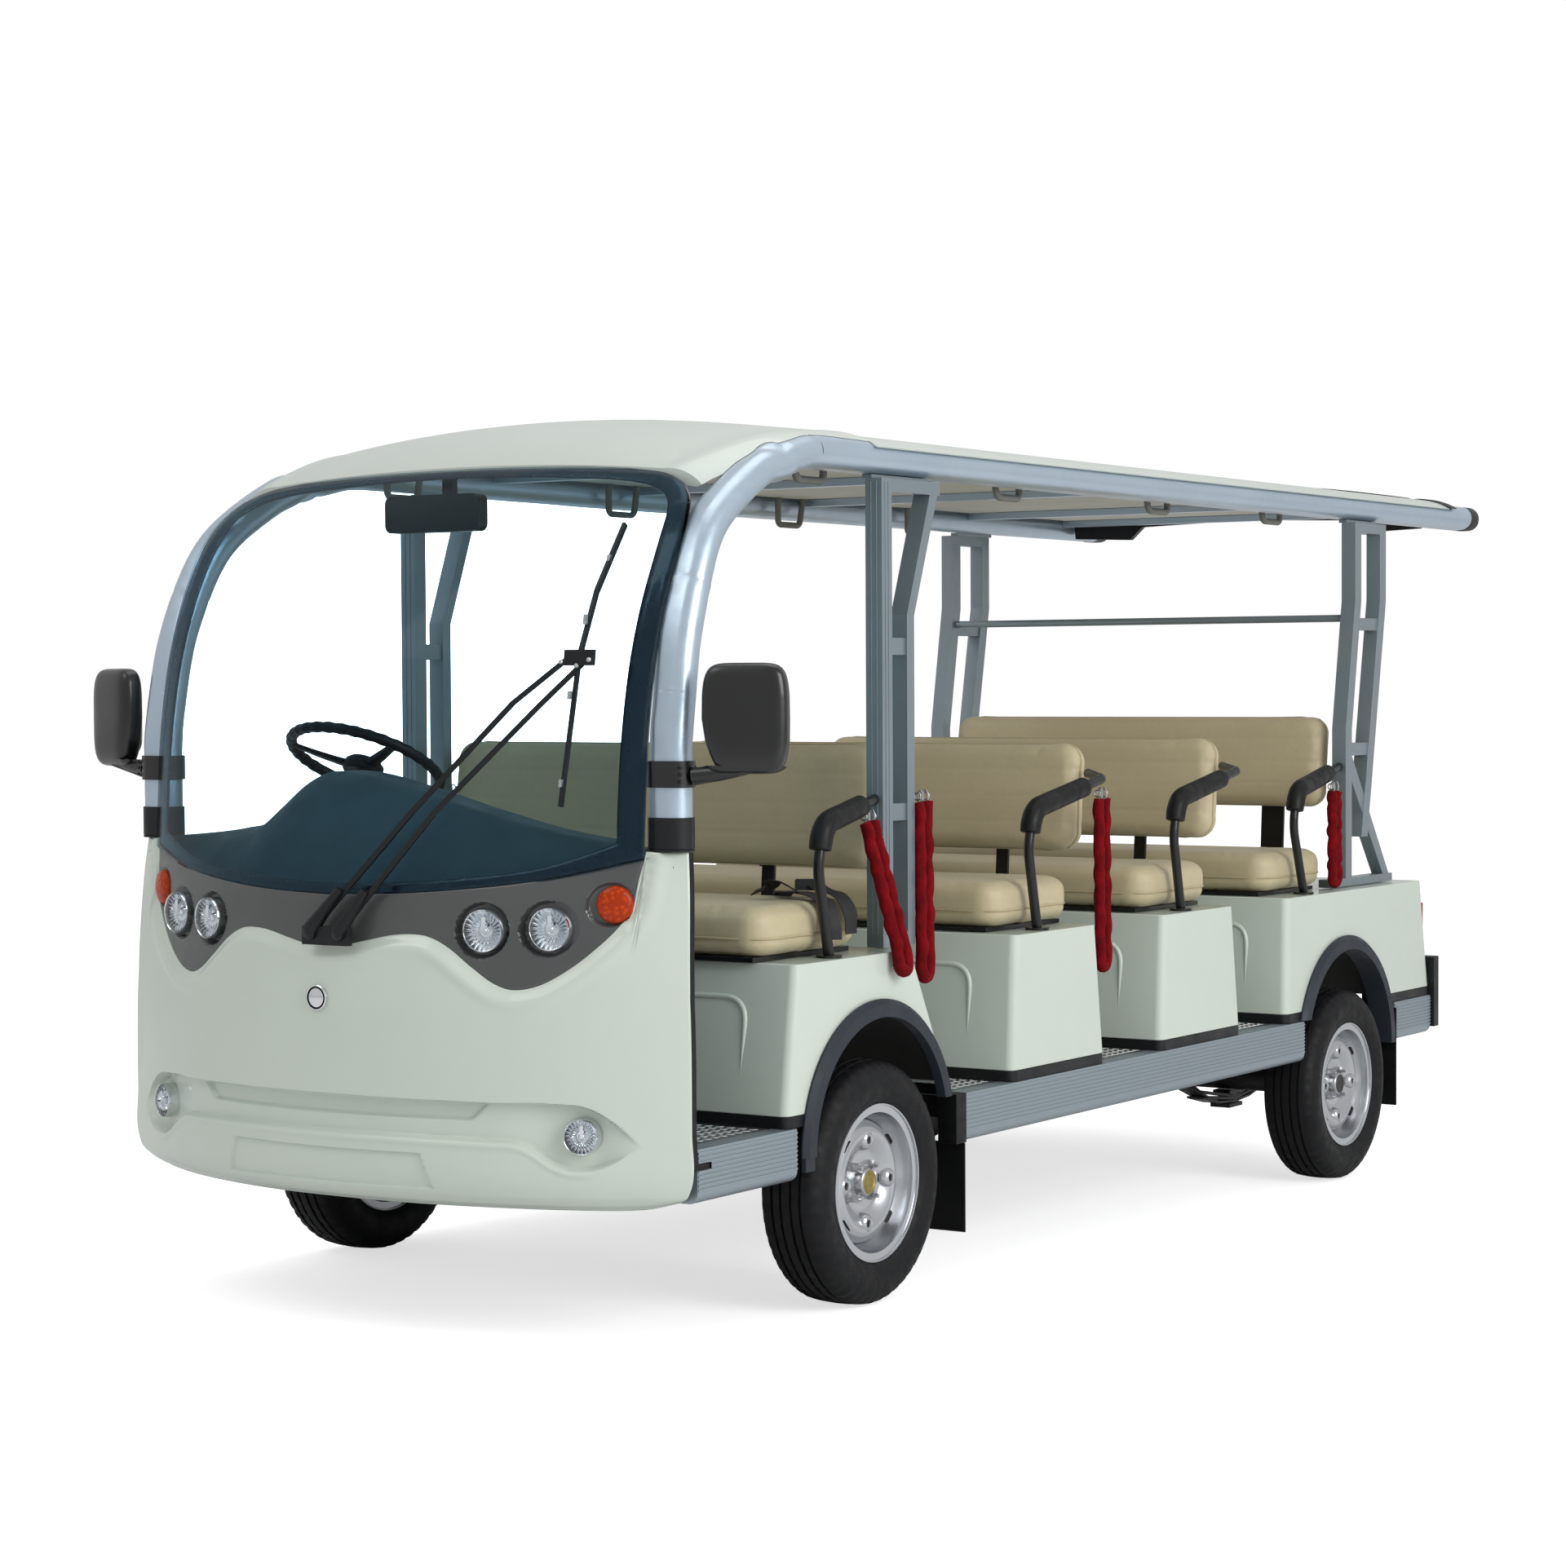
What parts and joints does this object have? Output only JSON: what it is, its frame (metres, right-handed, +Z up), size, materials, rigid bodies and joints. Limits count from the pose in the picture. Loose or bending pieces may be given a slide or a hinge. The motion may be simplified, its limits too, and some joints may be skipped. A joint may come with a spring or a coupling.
{
  "type": "airport passenger bus",
  "caption": "Open-sided electric passenger shuttle bus with rows of bench seats, a leaning hoop frame, a roof and a right-hand driving position.",
  "frame": {"origin": "centre of the bounding box at the ground under the tyres", "axes": "+Y to the rear, +X to the vehicle's left, +Z up; the front faces -Y"},
  "size_m": [1.9764, 4.887, 2.1248],
  "materials": {
    "tyre": "matt black rubber",
    "wheel_metal": "silver paint",
    "axle_metal": "black chassis paint",
    "chassis_metal": "black chassis paint",
    "battery_case": "dark grey paint",
    "deck": "chequered sheet",
    "sill": "ribbed anodised section",
    "body_paint": "cream gloss paint",
    "mask_paint": "dark metallic grey paint",
    "lamp": "bright reflector behind a clear lens",
    "orange_lens": "orange lens",
    "red_lens": "red lens",
    "rubber": "matt black",
    "rail_metal": "satin",
    "trim_plastic": "black grained",
    "roof_paint": "cream gel coat",
    "lining": "pale lining board",
    "screen_glass": "teal tinted laminate",
    "pillar_paint": "satin silver paint",
    "seat_cover": "stitched tan cover",
    "frame_metal": "black paint",
    "arm_metal": "black satin paint",
    "handle_plastic": "grey moulded loops",
    "grip": "soft black sleeve",
    "red_cloth": "red velvet over chain",
    "clip_metal": "bright steel",
    "dash_plastic": "dark grey grained"
  },
  "bodies": {
    "body": {"front_axle": "axle_metal", "rear_axle": "axle_metal", "drive_motor": "axle_metal", "leaf_springs": "axle_metal", "chassis_frame": "chassis_metal", "battery_block": "battery_case", "floor_deck": "deck", "side_sills": "sill", "rubber_trim": "rubber", "front_cowl": "body_paint", "front_lamps": "lamp", "indicator_lamps": "orange_lens", "front_mask": "mask_paint", "front_hoops": "rail_metal", "roof_rails": "rail_metal", "rail_trim": "trim_plastic", "roof_panel": "roof_paint", "roof_lining": "lining", "roof_front": "roof_paint", "windscreen": "screen_glass", "roof_tail": "trim_plastic", "grab_handles": "handle_plastic", "mid_pillars": "pillar_paint", "rear_pillars": "pillar_paint", "seat_boxes": "body_paint", "rear_body": "body_paint", "base_strips": "trim_plastic", "wheel_flares": "rubber", "wheel_liners": "trim_plastic", "seat_cushions": "seat_cover", "seat_backs": "seat_cover", "seat_frames": "frame_metal", "arm_rails": "arm_metal", "arm_sleeves": "grip", "chain_clips": "clip_metal", "mirrors": "trim_plastic", "dashboard": "dash_plastic", "steering_column": "trim_plastic", "wiper": "trim_plastic", "tail_lamps": "red_lens", "rear_bumper": "trim_plastic", "seat_chain_first_left": "red_cloth", "seat_chain_first_right": "red_cloth", "seat_chain_second_left": "red_cloth", "seat_chain_second_right": "red_cloth", "seat_chain_third_left": "red_cloth", "seat_chain_third_right": "red_cloth", "seat_chain_fourth_left": "red_cloth", "seat_chain_fourth_right": "red_cloth"},
    "knuckle_left": {"knuckle_left": "axle_metal"},
    "knuckle_right": {"knuckle_right": "axle_metal"},
    "steering_wheel_body": {"steering_wheel": "trim_plastic"},
    "wheel_front_left": {"tyre_front_left": "tyre", "rim_front_left": "wheel_metal"},
    "wheel_front_right": {"tyre_front_right": "tyre", "rim_front_right": "wheel_metal"},
    "wheel_rear_left": {"tyre_rear_left": "tyre", "rim_rear_left": "wheel_metal"},
    "wheel_rear_right": {"tyre_rear_right": "tyre", "rim_rear_right": "wheel_metal"}
  },
  "joints": [
    {"name": "steer_left", "type": "hinge", "parent": "body", "child": "knuckle_left", "pos_m": [0.585, -1.4084, 0.281], "axis": [0, 0, 1], "range_deg": [-28, 28]},
    {"name": "steer_right", "type": "hinge", "parent": "body", "child": "knuckle_right", "pos_m": [-0.585, -1.4084, 0.281], "axis": [0, 0, 1], "range_deg": [-28, 28]},
    {"name": "front_left_wheel_spin", "type": "hinge", "parent": "knuckle_left", "child": "wheel_front_left", "pos_m": [0.721, -1.4084, 0.281], "axis": [1, 0, 0], "continuous": true},
    {"name": "front_right_wheel_spin", "type": "hinge", "parent": "knuckle_right", "child": "wheel_front_right", "pos_m": [-0.721, -1.4084, 0.281], "axis": [1, 0, 0], "continuous": true},
    {"name": "rear_left_wheel_spin", "type": "hinge", "parent": "body", "child": "wheel_rear_left", "pos_m": [0.721, 1.2366, 0.281], "axis": [1, 0, 0], "continuous": true},
    {"name": "rear_right_wheel_spin", "type": "hinge", "parent": "body", "child": "wheel_rear_right", "pos_m": [-0.721, 1.2366, 0.281], "axis": [1, 0, 0], "continuous": true},
    {"name": "steering_wheel_turn", "type": "hinge", "parent": "body", "child": "steering_wheel_body", "pos_m": [-0.372, -1.83629, 1.23518], "axis": [0, 0.4451, 0.8955], "range_deg": [-504, 504]}
  ],
  "couplings": [
    {"joint": "steer_left", "follows": "steering_wheel_turn", "ratio": 0.055556},
    {"joint": "steer_right", "follows": "steering_wheel_turn", "ratio": 0.055556}
  ]
}
